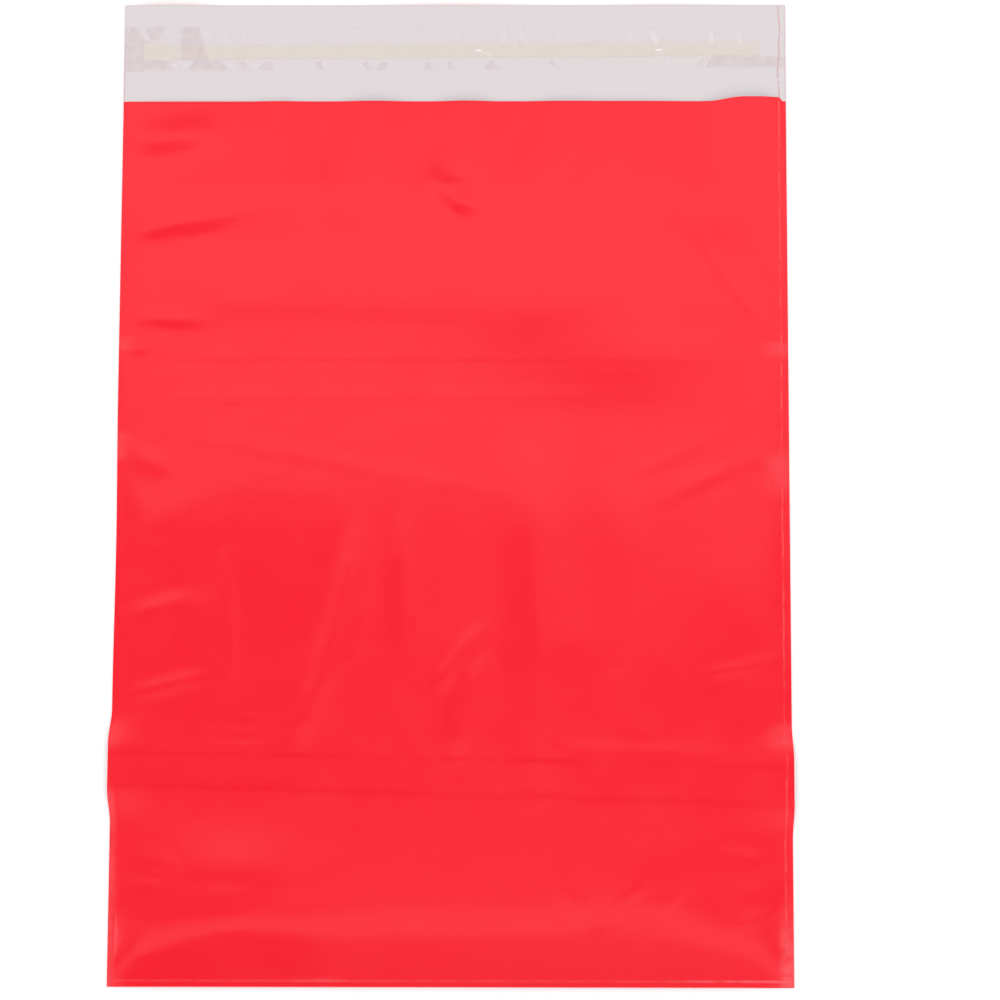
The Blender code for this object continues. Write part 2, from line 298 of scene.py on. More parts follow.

# Painted highlights by the welds, as pale patches of film: along, half length
LEFT_PAINTED_HIGHLIGHTS = ((292, 5), (245, 10), (112, 8))
RIGHT_PAINTED_HIGHLIGHTS = ((289, 5), (232, 14), (112, 8))
# Painted shade in the storage fold's two creases, as darker film: along at the left edge, slope, half width,
# how dark
CREASE_SHADE_LINES = ((104.1, -0.0225, 1.6, 0.42), (89.2, -0.029, 2.2, 0.48))

# Mesh zones across and along: where each ends, and how far apart its columns or rows are
COLUMN_ZONES = ((32, 1.3), (273, 2.25), (RIGHT_WELD, 1.3))
ROW_ZONES = (
    (16, 1.4), (78, 2.2), (108, 0.65), (276, 2.25), (288, 0.9), (366, 2.25), (POCKET_LENGTH, 1.6),
)
FLAP_PITCH = 1.7
BEND_CELLS = 5
# The floor side of the pocket has one column for this many of the front wall
UNDER_STRIDE = 7
ADHESIVE_PITCH = 0.9
ADHESIVE_ROWS = 13
LINER_PITCH = 0.7
LINER_ROWS = 27
SMOOTH_ANGLE = 50.0


def rise(distance, reach):
    """From 0 at a fixed edge to 1 at reach, steepest at the edge."""
    return np.sin(np.pi / 2 * np.clip(distance / reach, 0, 1))


def ease(distance, reach):
    """From 0 at a fixed edge to 1 at reach, where it comes in level without a sudden bend."""
    return 1 - (1 - np.clip(distance / reach, 0, 1)) ** 2.5


def bump(offset, half_width):
    """A smooth hump: 1 at its middle, 0 from half_width outwards."""
    return 0.5 + 0.5 * np.cos(np.pi * np.clip(np.abs(offset) / half_width, 0, 1))


def plateau(offset, width, fall):
    """A hump with a flat top as wide as width, and a fall on each side."""
    return bump(np.maximum(np.abs(offset) - width / 2, 0), fall)


def smooth_step(offset, width):
    """From 0 to 1 over width, centred on offset 0."""
    share = np.clip(offset / width + 0.5, 0, 1)
    return share * share * (3 - 2 * share)


def mix(low, high, share):
    """From low at share 0 to high at share 1."""
    return low + (high - low) * share


def waves(x, rows):
    """Humps side by side, from rows of across, half width and height."""
    return sum(height * bump(x - across, half_width) for across, half_width, height in rows)


def swell(x, y, across, along, reach_across, reach_along, height, turn):
    """A broad smooth rise, or a hollow, round a place."""
    cosine, sine = math.cos(math.radians(turn)), math.sin(math.radians(turn))
    aside, ahead = x - across, y - along
    wide, long = (cosine * aside + sine * ahead) / reach_across, (cosine * ahead - sine * aside) / reach_along
    return height * np.exp(-SIDE_FALL * (wide * wide + long * long))


def fold(x, y, x0, y0, x1, y1, width, height, bow):
    """A rounded fold between two places that fades at both ends."""
    length = math.hypot(x1 - x0, y1 - y0)
    way_x, way_y = (x1 - x0) / length, (y1 - y0) / length
    along = ((x - x0) * way_x + (y - y0) * way_y) / length
    aside = (y - y0) * way_x - (x - x0) * way_y - bow * 4 * along * (1 - along)
    fade = smooth_step(np.minimum(along, 1 - along) - END_FADE, END_FADE_WIDTH)
    return height * fade * np.exp(-SIDE_FALL * (aside / width) ** 2)


def step_up(x, y, along, skew, width, height, left, right):
    """A step up that runs across the bag, between left and right."""
    offset = y - along - skew * (x - BAG_WIDTH / 2)
    inside = smooth_step(x - left, STEP_FADE) * smooth_step(right - x, STEP_FADE)
    return height * smooth_step(offset, width) * inside


def climb(y):
    """Height gained along the middle line, from the slopes of CLIMB."""
    places, slopes = np.array(CLIMB).T
    fine = np.linspace(0, POCKET_LENGTH, round(POCKET_LENGTH / CLIMB_PITCH) + 1)
    steep = np.tan(np.radians(np.interp(fine, places, slopes, left=0)))
    return np.interp(y, fine, np.cumsum(steep) * (fine[1] - fine[0]))


def front_shape(x, y):
    """Height of the front wall's climb and steps, over its plain form. Its crest wanders a little."""
    height = climb(y + waves(x, CREST_WAVES) * plateau(y - CREST_ALONG, CREST_WIDTH, CREST_FALL))
    for row in STEPS:
        height = height + step_up(x, y, *row)
    return height


def crease_shape(x, y):
    """Height of the front wall's swells and folds, which keep their height almost to its edges."""
    height = np.zeros_like(x)
    for row in SWELLS:
        height = height + swell(x, y, *row)
    for row in FOLDS:
        height = height + fold(x, y, *row)
    return height


def between_welds(x, rising, reach):
    """From 0 at both welds to 1 at reach from them, by rise or by ease."""
    return rising(x - LEFT_WELD, reach) * rising(RIGHT_WELD - x, reach)


def lip_gap(x):
    """Clear height between the two walls at the lip."""
    low = (LIP_LOW + waves(x, LIP_WAVES)) * between_welds(x, rise, LIP_SIDE_RISE)
    fall = np.where(x < OPEN_LIP_ACROSS, OPEN_LIP_FALL, OPEN_LIP_WELD_FALL)
    return mix(low, OPEN_LIP_HEIGHT, plateau(x - OPEN_LIP_ACROSS, OPEN_LIP_WIDTH, fall))


def pocket_gap(x, y):
    """Clear height between the two walls."""
    height = POCKET_HEIGHT + front_shape(x, y)
    height = mix(FOLD_HEIGHT, height, ease(y - FOLD_BEND, FOLD_RISE + waves(x, FOLD_RISE_WAVES)))
    height = height * between_welds(x, ease, SIDE_RISE - CORNER_SHORTER * bump(y, CORNER_REACH))
    height = mix(lip_gap(x), height, rise(POCKET_LENGTH - y, LIP_RISE))
    held = between_welds(x, ease, CREASES_FROM_WELD) * ease(y - FOLD_BEND, CREASES_FROM_FOLD)
    creases = crease_shape(x, y) * held * ease(POCKET_LENGTH - y, CREASES_FROM_LIP)
    return np.maximum(height + creases, LEAST_GAP * between_welds(x, ease, LEAST_GAP_RISE))


def lip_slide(x, y):
    """How far the front wall's open stretch of lip has slid towards the flap."""
    open_part = smooth_step(x - OPEN_LIP_SLIDE_FROM, OPEN_LIP_SLIDE_WIDTH) * (x < RIGHT_WELD + 0.1)
    near_lip = smooth_step(y - POCKET_LENGTH + OPEN_LIP_SLIDE_REACH / 2, OPEN_LIP_SLIDE_REACH)
    return OPEN_LIP_SLIDE * open_part * near_lip


def in_band(x, y, width, fall):
    """1 in the storage fold's band, 0 away from it."""
    return plateau(y - BAND_ALONG - BAND_SKEW * (x - BAG_WIDTH / 2), width, fall)


def back_shape(x, y):
    """Height of the back wall's underside: it lies flat, and its edges and flap lift a little."""
    from_edge = np.minimum(x, BAG_WIDTH - x)
    lift = BAND_LIFT * in_band(x, y, BAND_LIFT_WIDTH, BAND_LIFT_FALL) * bump(from_edge, BAND_LIFT_REACH)
    up_flap = np.clip((y - POCKET_LENGTH) / FLAP_LENGTH, 0, 1)
    return lift + waves(x, FLAP_CURLS) * up_flap ** 2


def edge_shift(x, y):
    """How far the outline stands out sideways, in millimetres to the right."""
    band = in_band(x, y, BAND_BULGE_WIDTH, BAND_BULGE_FALL)
    inset = INSET_DEPTH * bump(y - INSET_ALONG, INSET_REACH)
    left = bump(x, EDGE_REACH) * (inset - BAND_BULGE_LEFT * band)
    return left + bump(BAG_WIDTH - x, EDGE_REACH) * BAND_BULGE_RIGHT * band


def spread(start, end, pitch):
    """Evenly spaced values from start up to, but not including, end, about pitch apart."""
    cells = max(1, round((end - start) / pitch))
    return [mix(start, end, step / cells) for step in range(cells)]


def zoned(start, zones):
    """Values from start through all zones up to, but not including, the last one's end."""
    places = []
    for end, pitch in zones:
        places += spread(start, end, pitch)
        start = end
    return places


def column_places():
    """Across of each column: two cells in each selvage, and the zones between the welds."""
    selvage = [RIGHT_WELD, mix(RIGHT_WELD, BAG_WIDTH, 0.5), BAG_WIDTH]
    return np.array([0.0, LEFT_WELD / 2] + zoned(LEFT_WELD, COLUMN_ZONES) + selvage)


def row_places():
    """Rows as along and the angle round the bottom fold's bend, and the number of the lip's row."""
    bend = [(FOLD_BEND, math.pi / 2 * (1 - step / BEND_CELLS)) for step in range(BEND_CELLS)]
    flat = zoned(FOLD_BEND, ROW_ZONES)
    lip_row = len(bend) + len(flat)
    flat += spread(POCKET_LENGTH, BAG_LENGTH, FLAP_PITCH) + [BAG_LENGTH]
    return np.array(bend + [(y, 0.0) for y in flat]), lip_row


class Builder:
    """Collects vertices and faces, each face with the number of its material."""

    def __init__(self):
        self.places, self.faces, self.slots = [], [], []

    def layer(self, x, y, z):
        """Adds a grid of vertices and returns the grid of their numbers."""
        first = len(self.places)
        self.places += np.stack([x, y, z], -1).reshape(-1, 3).tolist()
        return np.arange(first, first + x.size).reshape(x.shape)

    def face(self, corners, slot):
        """Adds a face, without corners that come twice, if it still has an area."""
        kept = list(dict.fromkeys(int(c) for c in corners))
        if len(kept) > 2:
            self.faces.append(kept)
            self.slots.append(slot)

    def cells(self, grid, slot, up):
        """Two triangles over each cell, split the same way in every layer so that none cross.

        The grid's first index runs across, its second along.
        """
        corners = (grid[:-1, :-1], grid[1:, :-1], grid[1:, 1:], grid[:-1, 1:])
        for first, second, third, fourth in zip(*(corner.ravel() for corner in corners)):
            for triangle in ((first, second, third), (first, third, fourth)):
                self.face(triangle if up else triangle[::-1], slot)

    def join(self, coarse, fine, picks, slot, up):
        """A strip between a coarse row and the fine row beyond it. picks are the shared columns."""
        for n in range(len(picks) - 1):
            edge = fine[picks[n]:picks[n + 1] + 1][::-1]
            corners = [coarse[n], coarse[n + 1], *edge]
            self.face(corners if up else corners[::-1], slot)

    def object(self, name, materials):
        """Makes the object, moved from the flat bag's millimetres to the frame's metres."""
        places = np.array(self.places)
        flat = places[:, :2].astype(np.float32)
        places[:, 0] += edge_shift(places[:, 0], places[:, 1]) - BAG_WIDTH / 2
        places[:, 1] -= BAG_LENGTH / 2
        mesh = bpy.data.meshes.new(name)
        mesh.from_pydata((places * MM).tolist(), [], self.faces)
        for material in materials:
            mesh.materials.append(material)
        mesh.polygons.foreach_set("material_index", self.slots)
        on_film = mesh.attributes.new("on_film", "FLOAT2", "POINT")
        on_film.data.foreach_set("vector", flat.ravel())
        mesh.shade_smooth()
        mesh.set_sharp_from_angle(angle=math.radians(SMOOTH_ANGLE))
        made = bpy.data.objects.new(name, mesh)
        bpy.context.collection.objects.link(made)
        return made


OUTSIDE, INSIDE = 0, 1


def make_film(materials):
    """The bag's one piece of film: front wall, bottom fold, back wall and flap."""
    columns = column_places()
    rows, lip = row_places()
    along, bend = rows[:, 0], rows[:, 1]
    left = int(np.argmin(np.abs(columns - LEFT_WELD)))
    right = int(np.argmin(np.abs(columns - RIGHT_WELD)))
    last, end = len(columns) - 1, len(along) - 1
    picks = [0, *range(left, right, UNDER_STRIDE), right, last]
    inner = [p for p in picks if left <= p <= right]

    x, y = np.meshgrid(columns, along, indexing="ij")
    turn = np.broadcast_to(bend, x.shape)
    gap = pocket_gap(x, np.minimum(y, POCKET_LENGTH))
    gap[:left + 1] = gap[right:] = 0
    gap[:, lip + 1:] = 0
    base = back_shape(x, y)
    middle = base + FILM + gap / 2
    inner_half, outer_half = gap / 2 * np.cos(turn), (gap / 2 + FILM) * np.cos(turn)
    outer_y, inner_y = y - FOLD_BEND * np.sin(turn), y - (FOLD_BEND - FILM) * np.sin(turn)
    slide = lip_slide(x, y)

    film = Builder()
    wall, front, behind = slice(left, right + 1), slice(0, lip + 1), slice(1, lip)
    top = film.layer(x[:, front], (outer_y + slide)[:, front], (middle + outer_half)[:, front])
    ceiling = film.layer(x[wall, front], (inner_y + slide)[wall, front], (middle + inner_half)[wall, front])
    flap = film.layer(x[:, lip:], y[:, lip:], base[:, lip:] + FILM)
    flap_under = film.layer(x[:, lip:], y[:, lip:], base[:, lip:])
    floor = film.layer(x[inner, behind], inner_y[inner, behind], (middle - inner_half)[inner, behind])
    under = film.layer(x[picks, behind], outer_y[picks, behind], (middle - outer_half)[picks, behind])

    # The pocket's floor and ceiling share their places at the welds
    ceiling[0, behind], ceiling[-1, behind] = floor[0], floor[-1]
    ceiling[0, lip], ceiling[-1, lip] = flap[left, 0], flap[right, 0]

    film.cells(top, OUTSIDE, up=True)
    film.cells(ceiling, INSIDE, up=False)
    film.cells(flap, INSIDE, up=True)
    film.cells(flap_under, OUTSIDE, up=False)
    film.cells(floor, INSIDE, up=True)
    film.cells(under, OUTSIDE, up=False)
    # Coarse rows meet fine ones at the bottom fold and at the lip
    local = [p - left for p in inner]
    film.join(under[:, 0], top[:, 0], picks, OUTSIDE, up=True)
    film.join(under[:, -1], flap_under[:, 0], picks, OUTSIDE, up=False)
    film.join(floor[:, 0], ceiling[:, 0], local, INSIDE, up=False)
    film.join(floor[:, -1], flap[wall, 0], local, INSIDE, up=True)
    # Cut edges: the lip, the flap's end and both sides
    for i in range(last):
        in_pocket = left <= i < right
        inside = ceiling[i - left:i - left + 2, lip] if in_pocket else flap[i:i + 2, 0]
        film.face([top[i, lip], top[i + 1, lip], inside[1], inside[0]], OUTSIDE)
        film.face([flap[i, -1], flap[i + 1, -1], flap_under[i + 1, -1], flap_under[i, -1]], OUTSIDE)
    for side, pick, outward in ((0, 0, -1), (last, -1, 1)):
        low = [top[side, 0], *under[pick], *flap_under[side]]
        for j in range(end):
            if j < lip:
                high = [flap[side, 0]] if j == lip - 1 else []
                high += [top[side, j + 1], top[side, j]]
            else:
                high = [flap[side, j + 1 - lip], flap[side, j - lip]]
            film.face((low[j:j + 2] + high)[::outward], OUTSIDE)
    return film.object("mailer_film", materials)


def lay(x, y, low, high, name, materials):
    """A closed body between a lower and an upper height over one grid of places."""
    body = Builder()
    under, top = body.layer(x, y, low), body.layer(x, y, high)
    body.cells(under, 0, up=False)
    body.cells(top, 0, up=True)
    for edge, upper in ((under[:, 0], top[:, 0]), (under[-1], top[-1]),
                        (under[::-1, -1], top[::-1, -1]), (under[0, ::-1], top[0, ::-1])):
        for i in range(len(edge) - 1):
            body.face([edge[i], edge[i + 1], upper[i + 1], upper[i]], 0)
    return body.object(name, materials)


def adhesive_lines(x):
    """Along of the adhesive's lower and upper edge."""
    middle = BAG_LENGTH - ADHESIVE_TOP - ADHESIVE_WIDTH / 2 + STRIP_SKEW * (x - BAG_WIDTH / 2)
    start = plateau(x - ADHESIVE_LEFT, START_WIDTH, START_FALL)
    low = middle - ADHESIVE_WIDTH / 2 - start * (0.8 + 0.5 * np.sin(x * 2.1)) + 0.15 * np.sin(x * 0.31)
    low = low - waves(x, ADHESIVE_NICKS)
    high = middle + ADHESIVE_WIDTH / 2 + 0.9 * start + 0.18 * np.sin(x * 0.23 + 1) + 0.08 * np.sin(x * 1.3)
    return low, high


def make_adhesive(material):
    """The adhesive's bead: low and flat, rounded at its sides and uneven at its ends."""
    across = np.array(spread(ADHESIVE_LEFT, ADHESIVE_RIGHT, ADHESIVE_PITCH) + [ADHESIVE_RIGHT])
    x, share = np.meshgrid(across, np.linspace(-1, 1, ADHESIVE_ROWS), indexing="ij")
    low, high = adhesive_lines(x)
    y = mix(low, high, share / 2 + 0.5)
    x = x + 0.7 * np.sin(share * 7 + 0.5) * (bump(x - ADHESIVE_LEFT, 4) + bump(x - ADHESIVE_RIGHT, 4))
    ends = rise(across - ADHESIVE_LEFT + 0.15, 1.2) * rise(ADHESIVE_RIGHT - across + 0.15, 1.2)
    crown = (1 - np.abs(share) ** 5) * ends[:, None]
    ripple = ADHESIVE_RIPPLE * np.sin(x * 0.9) * np.sin(x * 0.37 + share * 2)
    base = back_shape(x, y) + FILM + 0.01
    top = base + 0.02 + (ADHESIVE_DEPTH - 0.04 + ripple) * crown
    return lay(x, y, base, top, "adhesive_bead", [material])


def liner_height(x, y):
    """Height of the liner's underside over the flap: it steps over the adhesive and has small folds."""
    low, high = adhesive_lines(x)
    middle, width = (low + high) / 2, high - low
    inside = smooth_step(x - ADHESIVE_LEFT + 1, 2) * smooth_step(ADHESIVE_RIGHT + 1 - x, 2)
    over = plateau(y - middle, width + 0.6, LINER_STEP_FALL) * inside
    height = LINER_LIE + (ADHESIVE_DEPTH + LINER_OVER_ADHESIVE) * over + STREAK_HEIGHT * streaks(x, y)
    clear_below = smooth_step(low - 0.4 - y, 2) * (1 - contact(x, y))
    return height + LINER_WAVE * clear_below * (1 + np.sin(x * 0.55) * np.sin(x * 0.17))


def streaks(x, y):
    """Strength of the liner's small folds."""
    strength = np.zeros_like(x)
    for x0, y0, x1, y1, width, height in STREAKS:
        strength = np.maximum(strength, fold(x, y, x0, y0, x1, y1, width, height, 0))
    return strength


def contact(x, y):
    """1 where the liner touches the flap, 0 elsewhere."""
    touched = np.zeros_like(x)
    for top_from, top_to, bottom_from, bottom_to, top, bottom in CONTACTS:
        share = np.clip((top - y) / (top - bottom), 0, 1)
        inside = smooth_step(x - mix(top_from, bottom_from, share), CONTACT_EDGE)
        inside = inside * smooth_step(mix(top_to, bottom_to, share) - x, CONTACT_EDGE)
        inside = inside * smooth_step(top - y, CONTACT_EDGE) * smooth_step(y - bottom, CONTACT_EDGE)
        touched = np.maximum(touched, inside)
    return touched


def make_liner(material):
    """The release liner, which carries its contacts and streaks as attributes for its material."""
    right = BAG_WIDTH - LINER_SIDE_GAP
    across = np.array(spread(LINER_SIDE_GAP, right, LINER_PITCH) + [right])
    top = BAG_LENGTH - LINER_TOP
    x, y = np.meshgrid(across, np.linspace(top - LINER_WIDTH, top, LINER_ROWS), indexing="ij")
    y = y + STRIP_SKEW * (x - BAG_WIDTH / 2)
    low = back_shape(x, y) + FILM + liner_height(x, y)
    liner = lay(x, y, low, low + LINER_FILM, "liner_strip", [material])
    for name, values in (("contact", contact(x, y)), ("streak", streaks(x, y))):
        attribute = liner.data.attributes.new(name, "FLOAT", "POINT")
        attribute.data.foreach_set("value", np.concatenate([values.ravel()] * 2).astype(np.float32))
    return liner


class Nodes:
    """Short forms for building a material's node tree."""

    def __init__(self, name):
        self.material = bpy.data.materials.new(name)
        self.material.use_nodes = True
        self.tree = self.material.node_tree
        self.shader = self.tree.nodes["Principled BSDF"]
        self.output = self.tree.nodes["Material Output"]
        self.object_place = self.add("ShaderNodeTexCoord").outputs["Object"]
        film = self.add("ShaderNodeAttribute", attribute_name="on_film")
        split = self.add("ShaderNodeSeparateXYZ", film.outputs["Vector"])
        self.across, self.along = split.outputs["X"], split.outputs["Y"]

    def add(self, kind, *inputs, **settings):
        node = self.tree.nodes.new(kind)
        for name, value in settings.items():
            setattr(node, name, value)
        for socket, value in zip(node.inputs, inputs):
            self.put(socket, value)
        return node

    def put(self, socket, value):
        if isinstance(value, bpy.types.NodeSocket):
            self.tree.links.new(value, socket)
        elif value is not None:
            socket.default_value = value

    def math(self, operation, first, *others):
        """The operation over all values, two at a time from the first on."""
        for other in others:
            first = self.add("ShaderNodeMath", first, other, operation=operation).outputs[0]
        return first

    def plus(self, *values):
        return self.math("ADD", *values)

    def less(self, value, taken):
        return self.math("SUBTRACT", value, taken)

    def times(self, *values):
        return self.math("MULTIPLY", *values)

    def most(self, *values):
        return self.math("MAXIMUM", *values)

    def noise(self, size, detail=2.0):
        """Noise from 0 to 1 whose grain is about size metres."""
        node = self.add("ShaderNodeTexNoise")
        self.put(node.inputs["Vector"], self.object_place)
        node.inputs["Scale"].default_value = 1 / size
        node.inputs["Detail"].default_value = detail
        return node.outputs["Fac"]

    def ramp(self, value, low, high, to_low=0.0, to_high=1.0):
        """Maps low..high smoothly to to_low..to_high."""
        node = self.add("ShaderNodeMapRange", interpolation_type="SMOOTHSTEP")
        for name, socket_value in (("Value", value), ("From Min", low), ("From Max", high),
                                   ("To Min", to_low), ("To Max", to_high)):
            self.put(node.inputs[name], socket_value)
        return node.outputs["Result"]

    def wander(self, value, size, reach):
        """The value, moved to and fro by up to half of reach by noise of the given size."""
        return self.plus(value, self.times(self.less(self.noise(size), 0.5), reach))

    def near(self, value, place, width):
        """1 where value is at place, falling to 0 at width from it."""
        offset = self.add("ShaderNodeMath", self.less(value, place), operation="ABSOLUTE").outputs[0]
        return self.ramp(offset, width, width * 0.35)

    def blend(self, share, first, second):
        """The first colour where share is 0, the second where it is 1."""
        node = self.add("ShaderNodeMix", data_type="RGBA")
        self.put(node.inputs["Factor"], share)
        self.put(node.inputs["A"], first)
        self.put(node.inputs["B"], second)
        return node.outputs["Result"]

    def bump(self, height, depth, normal=None):
        """Bumps depth metres deep where height goes from 0 to 1."""
        node = self.add("ShaderNodeBump")
        self.put(node.inputs["Height"], height)
        node.inputs["Distance"].default_value = depth
        if normal:
            self.put(node.inputs["Normal"], normal)
        return node.outputs["Normal"]

    def finish(self, colour, roughness, normal=None):
        """Sets the shader and returns the material."""
        self.put(self.shader.inputs["Base Color"], colour)
        self.put(self.shader.inputs["Roughness"], roughness)
        if normal:
            self.put(self.shader.inputs["Normal"], normal)
        return self.material


RED = (1.0, 0.0105, 0.026, 1)
DEEP_RED = (0.96, 0.004, 0.018, 1)
PALE_RED = (1.0, 0.20, 0.22, 1)
GREY = (0.745, 0.688, 0.70, 1)
WELD_PINK = (0.66, 0.24, 0.33, 1)
CREAM = (0.73, 0.650, 0.60, 1)
PALE_CREAM = (0.77, 0.70, 0.655, 1)
LINER_HAZE = (0.75, 0.695, 0.705, 1)
LINER_TOUCHING = (0.66, 0.56, 0.58, 1)
LINER_FOLD_HAZE_AND_HIGHLIGHT = (0.92, 0.90, 0.91, 1)
WHITE = (1, 1, 1, 1)


def weld_line(nodes):
    """The right weld's line, broken up along its length, from 0 to 1."""
    line = nodes.near(nodes.wander(nodes.across, 0.012, 1.1), RIGHT_WELD - 0.3, 0.55)
    return nodes.times(line, nodes.ramp(nodes.noise(0.007, 3.0), 0.35, 0.65, 0.15, 1.0))


def painted_crease_shade(nodes):
    """Painted shade in the storage fold's two creases, across both walls."""
    lines = []
    for along, slope, half_width, strength in CREASE_SHADE_LINES:
        place = nodes.wander(nodes.less(nodes.along, nodes.times(nodes.across, slope)), 0.03, 1.2)
        lines.append(nodes.times(nodes.near(place, along, half_width), strength))
    return nodes.most(*lines)


def painted_edge_highlights(nodes, places, from_across, to_across):
    """Painted highlights, palest at to_across and fading out at from_across."""
    share = nodes.most(*(nodes.near(nodes.along, along, half_length) for along, half_length in places))
    return nodes.times(share, nodes.ramp(nodes.across, from_across, to_across, 0.0, 0.16))


def painted_highlights_and_weld_line(nodes, line):
    """Painted highlights: by the welds, lower corners, bottom fold, and in part the weld line."""
    # Painted highlights at the lower right corner, along the left edge's lower part and along the bottom fold
    right = nodes.times(nodes.ramp(nodes.across, RIGHT_WELD - 5, RIGHT_WELD - 0.2, 0.0, 0.4),
                        nodes.ramp(nodes.along, 46, 6))
    left = nodes.times(nodes.ramp(nodes.across, 4.5, 1.0, 0.0, 0.2), nodes.ramp(nodes.along, 92, 84))
    bottom = nodes.times(nodes.near(nodes.along, 2.7, 0.8), nodes.ramp(nodes.across, 230, 290, 0.14, 0.5))
    pale = nodes.most(right, left, bottom, painted_edge_highlights(nodes, LEFT_PAINTED_HIGHLIGHTS, 9, 1),
                      painted_edge_highlights(nodes, RIGHT_PAINTED_HIGHLIGHTS, RIGHT_WELD - 12, RIGHT_WELD - 1))
    patchy = nodes.ramp(nodes.noise(0.006, 3.0), 0.3, 0.6, 0.4, 1.0)
    # The weld line is pale partly from the weld's whitened film and partly as painted highlight
    return nodes.most(nodes.times(pale, patchy), nodes.times(line, 0.3))


def red_material():
    """Glossy red film: faint crinkle, painted crease shade, painted highlights and a pale weld line."""
    nodes = Nodes("film_red")
    line = weld_line(nodes)
    selvage = nodes.times(nodes.ramp(nodes.across, RIGHT_WELD + 0.5, RIGHT_WELD + 0.9, 0.0, 0.8),
                          nodes.ramp(nodes.along, 383, 386))
    # Painted shade in the storage fold's creases, and a deeper red selvage by the right weld near the lip
    colour = nodes.blend(nodes.most(painted_crease_shade(nodes), selvage), RED, DEEP_RED)
    # Painted highlights by the welds, at the lower corners and along the bottom fold, and the weld line,
    # partly painted highlight
    colour = nodes.blend(painted_highlights_and_weld_line(nodes, line), colour, PALE_RED)
    roughness = nodes.ramp(nodes.noise(0.018, 3.0), 0.3, 0.7, 0.15, 0.21)
    crinkle = nodes.bump(nodes.noise(0.011, 3.0), 0.00013)
    grain = nodes.bump(nodes.noise(0.0022, 2.0), 0.000010, crinkle)
    return nodes.finish(colour, roughness, nodes.bump(line, 0.00006, grain))


def grey_material():
    """The film's pale grey inside, pink by the right weld and along the cut edges."""
    nodes = Nodes("film_grey")
    right = nodes.near(nodes.wander(nodes.across, 0.02, 3.0), RIGHT_WELD, 0.5)
    left = nodes.times(nodes.ramp(nodes.across, 0.7, 0.2), nodes.ramp(nodes.along, 440, 424, 0.15, 1.0))
    edge = nodes.ramp(nodes.across, BAG_WIDTH - 0.7, BAG_WIDTH - 0.2, 0.0, 0.6)
    end = nodes.ramp(nodes.along, BAG_LENGTH - 0.8, BAG_LENGTH - 0.2, 0.0, 0.35)
    dots = nodes.ramp(nodes.noise(0.0024, 3.0), 0.30, 0.50)
    pink = nodes.times(nodes.most(right, left, edge, end), dots, 0.6)
    colour = nodes.blend(pink, GREY, WELD_PINK)
    return nodes.finish(colour, 0.32, nodes.bump(nodes.noise(0.009, 3.0), 0.00010))


def adhesive_material():
    """Cream hot-melt adhesive, a little uneven."""
    nodes = Nodes("adhesive_cream")
    colour = nodes.blend(nodes.noise(0.006, 3.0), CREAM, PALE_CREAM)
    return nodes.finish(colour, 0.42, nodes.bump(nodes.noise(0.004, 3.0), 0.00012))


def liner_material():
    """Thin translucent film: hazy where it stands clear, darker where it touches the flap."""
    nodes = Nodes("liner_clear")
    touched = nodes.add("ShaderNodeAttribute", attribute_name="contact").outputs["Fac"]
    streaked = nodes.add("ShaderNodeAttribute", attribute_name="streak").outputs["Fac"]
    touched = nodes.times(touched, nodes.ramp(nodes.noise(0.004, 3.0), 0.3, 0.7, 0.7, 1.0))
    glint = nodes.most(*(nodes.times(nodes.near(nodes.across, across, half_length),
                                     nodes.near(nodes.along, along, half_width))
                         for across, along, half_length, half_width in GLINTS))
    colour = nodes.blend(touched, LINER_HAZE, LINER_TOUCHING)
    # Whiter along the small folds, partly painted highlight, and painted white glints over the adhesive
    colour = nodes.blend(streaked, colour, LINER_FOLD_HAZE_AND_HIGHLIGHT)
    colour = nodes.blend(glint, colour, WHITE)
    haze = nodes.plus(nodes.times(touched, 0.17), 0.05, nodes.times(streaked, 0.28))
    haze = nodes.most(haze, nodes.times(glint, 0.95))
    # Light passes this film, so that it casts hardly any shadow on the flap below
    lit = nodes.add("ShaderNodeLightPath").outputs["Is Shadow Ray"]
    nodes.put(nodes.shader.inputs["Alpha"], nodes.times(haze, nodes.ramp(lit, 0, 1, 1.0, 0.15)))
    return nodes.finish(colour, 0.25, nodes.bump(nodes.noise(0.003, 3.0), 0.00006))


# The studio's ceiling, in metres: panels from and to across, from and to along, and their radiance
CEILING_HEIGHT = 2.0
CEILING = (
    (-1.5, 1.5, 0.38, 0.46, 0.42),
    (-1.5, 1.5, 0.46, 0.58, 0.70),
    (-1.5, 1.5, 0.58, 0.72, 0.84),
    (-1.5, 1.5, 0.72, 1.25, 0.76),
    (-1.5, 1.5, 1.25, 1.58, 0.58),
    (-1.5, 1.5, 1.58, 2.20, 0.34),
    (-0.12, 0.10, 0.15, 0.38, 0.27),
    (0.10, 1.5, 0.25, 0.38, 0.42),
    (-1.5, 1.5, -0.14, 0.05, 0.31),
    (-1.5, -0.2, -0.58, -0.14, 0.60),
    (-0.2, 1.5, -0.76, -0.14, 0.62),
    (-0.2, 1.5, -2.60, -0.76, 0.25),
    (-9.0, -2.1, -9.0, 9.0, 2.1),
    (2.1, 9.0, -9.0, 9.0, 2.1),
    (-2.1, 2.1, 3.0, 9.0, 1.4),
    (-2.1, 2.1, -9.0, -3.2, 1.4),
)

# The even light from all round, and the floor, in metres
WORLD_LIGHT = 0.20
FLOOR_HALF = 6.0
FLOOR_LEVEL = -0.0002
FLOOR_WHITE = (0.86, 0.86, 0.86, 1)
FLOOR_ROUGHNESS = 0.9
FLOOR_GLOW = 0.2


